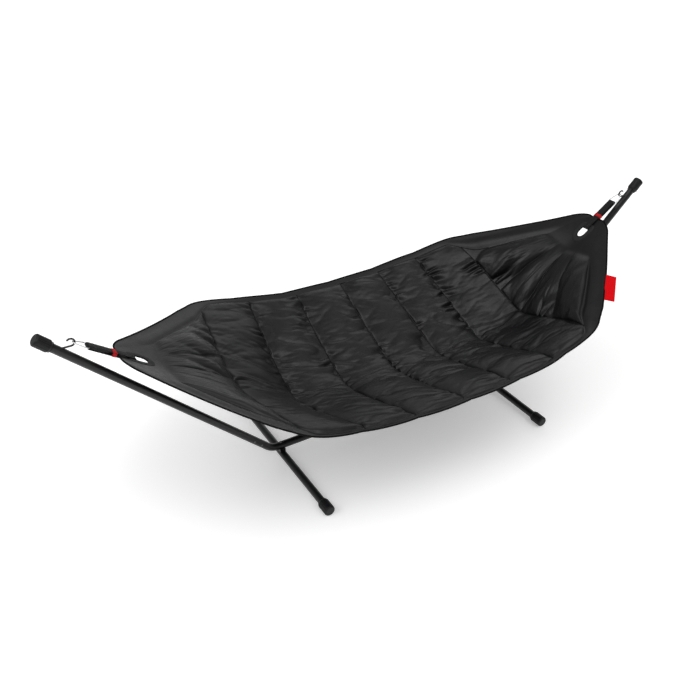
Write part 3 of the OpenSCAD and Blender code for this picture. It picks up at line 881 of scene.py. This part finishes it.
def sweep_piece(name, path, outline, sides, ups, closed=True):
    """A swept piece with UVs: metres along the path, and the outline's own a across."""
    path = np.asarray(path)
    points, faces = sweep(path, outline, sides, closed, ups)
    piece = mesh_object(name, points, faces, smooth=True)
    following = np.roll(path, -1, axis=0)
    run = np.concatenate([[0.0], np.cumsum(np.linalg.norm(following - path, axis=1))])
    around = len(outline)
    layer = piece.data.uv_layers.new(name="flat")
    for number, polygon in enumerate(piece.data.polygons):
        i, k = divmod(number, around)
        for corner, loop in enumerate(polygon.loop_indices):
            if number >= around * (len(path) if closed else len(path) - 1):
                layer.data[loop].uv = (0.0, outline[corner % around][0])
                continue
            a = outline[k if corner in (0, 3) else (k + 1) % around][0]
            layer.data[loop].uv = (run[i + (corner > 1)], a)
    return piece


def strap_frame(side):
    """Contact point, direction down the strap, and the direction square to its face, upwards."""
    contact = np.array([side * CONTACT_X, 0.0, SWING_Z])
    down = np.array([-side * math.cos(STRAP_A), 0.0, -math.sin(STRAP_A)])
    up = np.array([-side * math.sin(STRAP_A), 0.0, math.cos(STRAP_A)])
    return contact, down, up


ACROSS = np.array([0.0, 1.0, 0.0])


def make_strap(side, label, material):
    contact, down, up = strap_frame(side)
    start = RING_L - RING_WIRE_D / 2
    end = (CONTACT_X - HOLE_X - HOLE_HALF_L) / math.cos(STRAP_A) + 0.001
    r = (STRAP_GAP + STRAP_T) / 2
    first, last = start + STRAP_GAP / 2, end - STRAP_GAP / 2
    runs = []
    straight = np.linspace(first, last, 40)[1:-1]
    for p in straight:
        runs.append((p, r, 0.0, 1.0))
    for t in np.linspace(math.pi / 2, -math.pi / 2, 13):
        runs.append((last + r * math.cos(t), r * math.sin(t), math.cos(t), math.sin(t)))
    for p in straight[::-1]:
        runs.append((p, -r, 0.0, -1.0))
    for t in np.linspace(-math.pi / 2, -3 * math.pi / 2, 13):
        runs.append((first + r * math.cos(t), r * math.sin(t), math.cos(t), math.sin(t)))
    path = [contact + down * p + up * h for p, h, _, _ in runs]
    ups = [down * a + up * b for _, _, a, b in runs]
    piece = sweep_piece(f"webbing_strap_{label}", path, band_outline(STRAP_W, STRAP_T),
                        [ACROSS] * len(path), ups)
    return finish_piece(piece, material, "black_webbing", f"strap_{label}")


def make_ring(side, label, material):
    contact, down, up = strap_frame(side)
    wide_p, wide_y = RING_L - RING_BAR_R, RING_W / 2 - RING_BAR_R
    run_p = wide_p - RING_HOOK_R
    flare = math.atan2(wide_y, run_p) - math.asin((RING_HOOK_R - RING_BAR_R) / math.hypot(run_p, wide_y))
    bends = [(0, math.pi / 2 + flare, (wide_p, wide_y), RING_BAR_R),
             (math.pi / 2 + flare, 3 * math.pi / 2 - flare, (RING_HOOK_R, 0.0), RING_HOOK_R),
             (3 * math.pi / 2 - flare, math.tau, (wide_p, -wide_y), RING_BAR_R)]
    path, sides = [], []
    for low, high, centre, radius in bends:
        for turn in np.linspace(low, high, 17):
            out = down * math.cos(turn) + ACROSS * math.sin(turn)
            path.append(contact + down * centre[0] + ACROSS * centre[1] + out * radius)
            sides.append(out)
    piece = sweep_piece(f"wire_ring_{label}", path, oval_outline(RING_WIRE_D / 2, RING_WIRE_D / 2, 20), sides,
                        [up] * len(path))
    return finish_piece(piece, material, "bright_ring_wire", f"ring_{label}")


def make_keeper(side, label, material):
    contact, down, up = strap_frame(side)
    half_w = STRAP_W / 2 + KEEPER_GAP + KEEPER_T / 2
    half_h = STRAP_GAP / 2 + STRAP_T + KEEPER_GAP + KEEPER_T / 2
    corner = 0.003
    path, ups = [], []
    middle = contact + down * KEEPER_P
    for quarter, (sy, sh) in enumerate([(1, 1), (-1, 1), (-1, -1), (1, -1)]):
        for turn in np.linspace(0, math.pi / 2, 6):
            t = quarter * math.pi / 2 + turn
            out = ACROSS * math.cos(t) + up * math.sin(t)
            path.append(middle + ACROSS * sy * (half_w - corner) + up * sh * (half_h - corner) + out * corner)
            ups.append(out)
    piece = sweep_piece(f"keeper_band_{label}", path, band_outline(KEEPER_W, KEEPER_T),
                        [down] * len(path), ups)
    return finish_piece(piece, material, "red_webbing", f"strap_keeper_{label}")


def make_label(material):
    places = [np.array([x, -float(edge_y(np.array(x), -1.0)) - LABEL_GAP, float(edge_z(np.array(x)))])
              for x in LABEL_X]
    run = places[1] - places[0]
    out = np.array([run[1], -run[0], 0.0])
    out = out / np.linalg.norm(out)
    path, sides, ups = [], [], []
    steps = 26
    for i in range(steps):
        t = i / (steps - 1)
        path.append(places[0] + run * t + out * (LABEL_OUT / 2 - LABEL_TUCK))
        tilt = unit(out + np.array([0.0, 0.0, LABEL_SWAY * math.sin(5.0 * t + 0.4) - LABEL_DROOP]))
        sides.append(tilt)
        ups.append(unit(np.cross(run, tilt)))
    outline = band_outline(LABEL_OUT, LABEL_T)
    piece = sweep_piece("side_flag", path, outline, sides, ups, closed=False)
    return finish_piece(piece, material, "red_label_cloth", "side_label")


PATCH_T = 0.0019
STEPS_ROUND_HOLE = 72
RIM_OUT = 1.02  # the cord's middle line, as a part of the hole's own size


def make_eyelet(side, label, points, normals, material):
    """The doubled patch sewn round the hole, in the hole's own shape and twice its size."""
    turns, rings = STEPS_ROUND_HOLE, 9
    shares = np.concatenate([np.linspace(1.0, 1.95, rings), [2.0]])  # of the hole's own size
    lifts = np.concatenate([[0.0004], np.full(rings - 2, PATCH_T), [0.0012, -0.0004]])
    rows, flats = [], []
    for share, lift in zip(shares, lifts):
        t = np.arange(turns) / turns * math.tau
        reach = share / hole_reach(side * np.cos(t), np.sin(t))
        a, b = reach * np.cos(t), reach * np.sin(t)
        place, _ = on_cloth(points, normals, side * HOLE_X + a, b, lift)
        rows.append(place)
        flats.append(np.stack([a, b], axis=-1))
    flat = np.array(flats).reshape(-1, 2)
    faces = [(i + k, i + (k + 1) % turns, i + turns + (k + 1) % turns, i + turns + k)
             for i in range(0, (len(shares) - 1) * turns, turns) for k in range(turns)]
    piece = mesh_object(f"eyelet_{label}", np.array(rows).reshape(-1, 3), faces, smooth=True)
    lay_uv(piece.data, flat)
    return finish_piece(piece, material, "eyelet_cloth", f"eyelet_patch_{label}")


def make_rim(side, label, top, bottom, normals, material):
    """The bound edge of the hole: a cord round it that covers both layers."""
    t = np.arange(STEPS_ROUND_HOLE) / STEPS_ROUND_HOLE * math.tau
    reach = RIM_OUT / hole_reach(side * np.cos(t), np.sin(t))
    upper, facing = on_cloth(top, normals, side * HOLE_X + reach * np.cos(t), reach * np.sin(t))
    lower, _ = on_cloth(bottom, normals, side * HOLE_X + reach * np.cos(t), reach * np.sin(t))
    path = (upper + lower) / 2
    centre = path.mean(axis=0)
    sides = unit(path - centre - facing * np.sum((path - centre) * facing, axis=1, keepdims=True))
    outline = oval_outline(0.0022, 0.0034, 10)
    piece = sweep_piece(f"eyelet_rim_{label}", path, outline, sides, facing)
    return finish_piece(piece, material, "eyelet_cloth")


def perimeter(grid):
    return np.concatenate([grid[:-1, 0], grid[-1, :-1], grid[:0:-1, -1], grid[0, :0:-1]])


def make_binding(material):
    rim = perimeter(BASE)
    facing = perimeter(NORMALS)
    ahead = unit(np.roll(rim, -1, axis=0) - np.roll(rim, 1, axis=0))
    out = unit(np.cross(ahead, facing))
    up = unit(np.cross(out, ahead))
    outline = oval_outline(0.0046, 0.0036, 12)
    piece = sweep_piece("edge_cord", rim, outline, out, up)
    return finish_piece(piece, material, "black_binding", "edge_binding")


def make_seam_painted_shade(top, normals, material):
    """Narrow dark strips of painted shade at the bottom of every seam's groove and along the hem's stitching: thin
    dark sheets that stand in for the shade there.
    """
    points, faces = [], []
    inside = range(HEM_CELLS, ROWS - HEM_CELLS)
    lines = [np.array([[column, j] for j in inside]) for column in SEAM_COLUMNS]
    ends = [i for i in range(COLUMNS) if abs(U[i]) < PATCH_X]
    lines += [np.array([[i, row] for i in ends]) for row in (HEM_CELLS, ROWS - 1 - HEM_CELLS)]
    outline = [(-SEAM_SHADE_HALF_W, -0.0002), (-SEAM_SHADE_HALF_W / 2, 0.0008), (SEAM_SHADE_HALF_W / 2, 0.0008),
               (SEAM_SHADE_HALF_W, -0.0002)]
    for line in lines:
        spots, facing = top[line[:, 0], line[:, 1]], normals[line[:, 0], line[:, 1]]
        ahead = unit(np.gradient(spots, axis=0))
        cross = unit(np.cross(facing, ahead))
        made, quads = sweep(spots, outline, cross, False, facing)
        first = len(points)
        points += made
        faces += [[first + k for k in quad] for quad in quads]
    # each strip is a thin dark sheet of painted shade lying in its groove
    piece = mesh_object("seam_painted_shade", points, faces, smooth=True)
    lay_uv(piece.data, np.array(points)[:, :2])
    return finish_piece(piece, material, "black_binding")


STITCH_HALF_L = 0.0019
STITCH_STEP = 0.0052
THREAD_HALF_T = 0.00055


def make_stitches(top, normals, material):
    """Lock stitches along the seams and beside the hem, each a short thread lying in its groove."""
    lines = [[(c, j) for j in range(HEM_CELLS, ROWS - HEM_CELLS)] for c in SEAM_COLUMNS]
    ends = [i for i in range(COLUMNS) if abs(U[i]) < PATCH_X]
    lines += [[(i, row) for i in ends] for row in (HEM_CELLS, ROWS - 1 - HEM_CELLS)]
    half_l, gap, thick = STITCH_HALF_L, STITCH_STEP, THREAD_HALF_T
    points, faces = [], []
    for line in lines:
        spots = np.array([top[i, j] for i, j in line])
        facing = np.array([normals[i, j] for i, j in line])
        run = np.concatenate([[0.0], np.cumsum(np.linalg.norm(np.diff(spots, axis=0), axis=1))])
        for at in np.arange(gap, run[-1], gap):
            a, b, n = [np.array([np.interp(at + d, run, grid[:, k]) for k in range(3)])
                       for d, grid in ((-half_l, spots), (half_l, spots), (0.0, facing))]
            ahead = unit(b - a)
            cross = np.cross(n, ahead) * thick
            first = len(points)
            low, high = n * 0.0006, n * (0.0008 + thick)
            points += [a + low, (a * 3 + b) / 4 + cross + low, (a + b * 3) / 4 + cross + low, b + low,
                       (a + b * 3) / 4 - cross + low, (a * 3 + b) / 4 - cross + low,
                       (a * 3 + b) / 4 + high, (a + b * 3) / 4 + high]
            faces += [[first + k for k in face] for face in
                      ((0, 6, 1), (1, 6, 7, 2), (2, 7, 3), (3, 7, 4), (4, 7, 6, 5), (5, 6, 0),
                       (0, 1, 2, 3, 4, 5))]
    piece = mesh_object("seam_stitches", points, faces, smooth=True)
    lay_uv(piece.data, np.array(points)[:, :2])
    return finish_piece(piece, material, "black_binding")


# ---------- the whole object ----------

def dress_stand():
    """The stand's own CAD shapes are right: each gets a better finish."""
    finishes = {"black_powder_coat": powder_coat(), "black_hook_rod": hook_paint(),
                "black_cap_plastic": cap_plastic(), "zinc_steel": zinc_steel()}
    for entry in frame["record"]["subparts"]:
        if entry["material_slot"] in finishes:
            piece = frame["nodes"][entry["node"]]
            piece.data.materials.clear()
            piece.data.materials.append(finishes[entry["material_slot"]])


UNDERSIDE_SWELL = 0.9  # the underside stands out a little less than the top


def make_hammock():
    cloth = satin_cloth("black_satin_cloth", (0.0032, 0.0032, 0.0038), (0.0055, 0.0055, 0.0064))
    patch = satin_cloth("eyelet_cloth", (0.007, 0.007, 0.008), (0.011, 0.011, 0.012), (0.55, 0.7))
    # the darkest, least glossy cloth: the binding's own black, also worn by the strips of painted shade in the
    # seam grooves
    cord = satin_cloth("black_binding", (0.0010, 0.0010, 0.0012), (0.0022, 0.0022, 0.0024), (0.62, 0.78),
                       gloss=0.10)
    webbing = woven_band("black_webbing", (0.003, 0.003, 0.0035), (0.012, 0.012, 0.013))
    red_band = woven_band("red_webbing", (0.34, 0.001, 0.004), (0.66, 0.004, 0.010))
    red_cloth = woven_band("red_label_cloth", (0.70, 0.001, 0.004), (0.90, 0.003, 0.010), 700.0,
                           gloss=0.06)
    wire = ring_wire()

    top = padded_top()
    skipped = hole_cells()
    start = BASE + NORMALS * SEAM_HALF_T
    # the underside takes the top's padding end for end, so that its creases are not a copy in the same place
    moved = (top - start)[::-1]
    rise = np.sum(moved * NORMALS[::-1], axis=-1, keepdims=True)
    bottom = BASE - NORMALS * (SEAM_HALF_T + UNDERSIDE_SWELL * np.maximum(rise, -0.0002))
    top_shape = with_shaped_holes(top, skipped)
    bottom_shape = with_shaped_holes(bottom, skipped)

    upper = cover("quilt_top", top_shape, skipped)
    under = cover("quilt_underside", bottom_shape, skipped, flip=True)
    fills = [f"channel_fill_{k}" for k in range(1, 9)]
    stiffeners = ["tip_stiffener_left", "tip_stiffener_right"]
    finish_piece(upper, cloth, "black_satin_cloth", "top_cover", *stiffeners, *fills)
    finish_piece(under, cloth, "black_satin_cloth", "bottom_cover")
    for piece in (upper, under):
        keep_seams_sharp(piece)
        subdivide(piece)

    normals = surface_normals(top)
    for side, label in ((-1, "left"), (1, "right")):
        make_eyelet(side, label, top, normals, patch)
        make_rim(side, label, top, bottom, normals, cord)
        make_ring(side, label, wire)
        make_strap(side, label, webbing)
        make_keeper(side, label, red_band)
    binding = make_binding(cord)
    # strips of painted shade along the seams and the hem's stitching
    painted_shade = make_seam_painted_shade(top, normals, cord)
    stitches = make_stitches(top, normals, cord)
    flag = make_label(red_cloth)


make_camera()
make_studio()
dress_stand()
make_hammock()
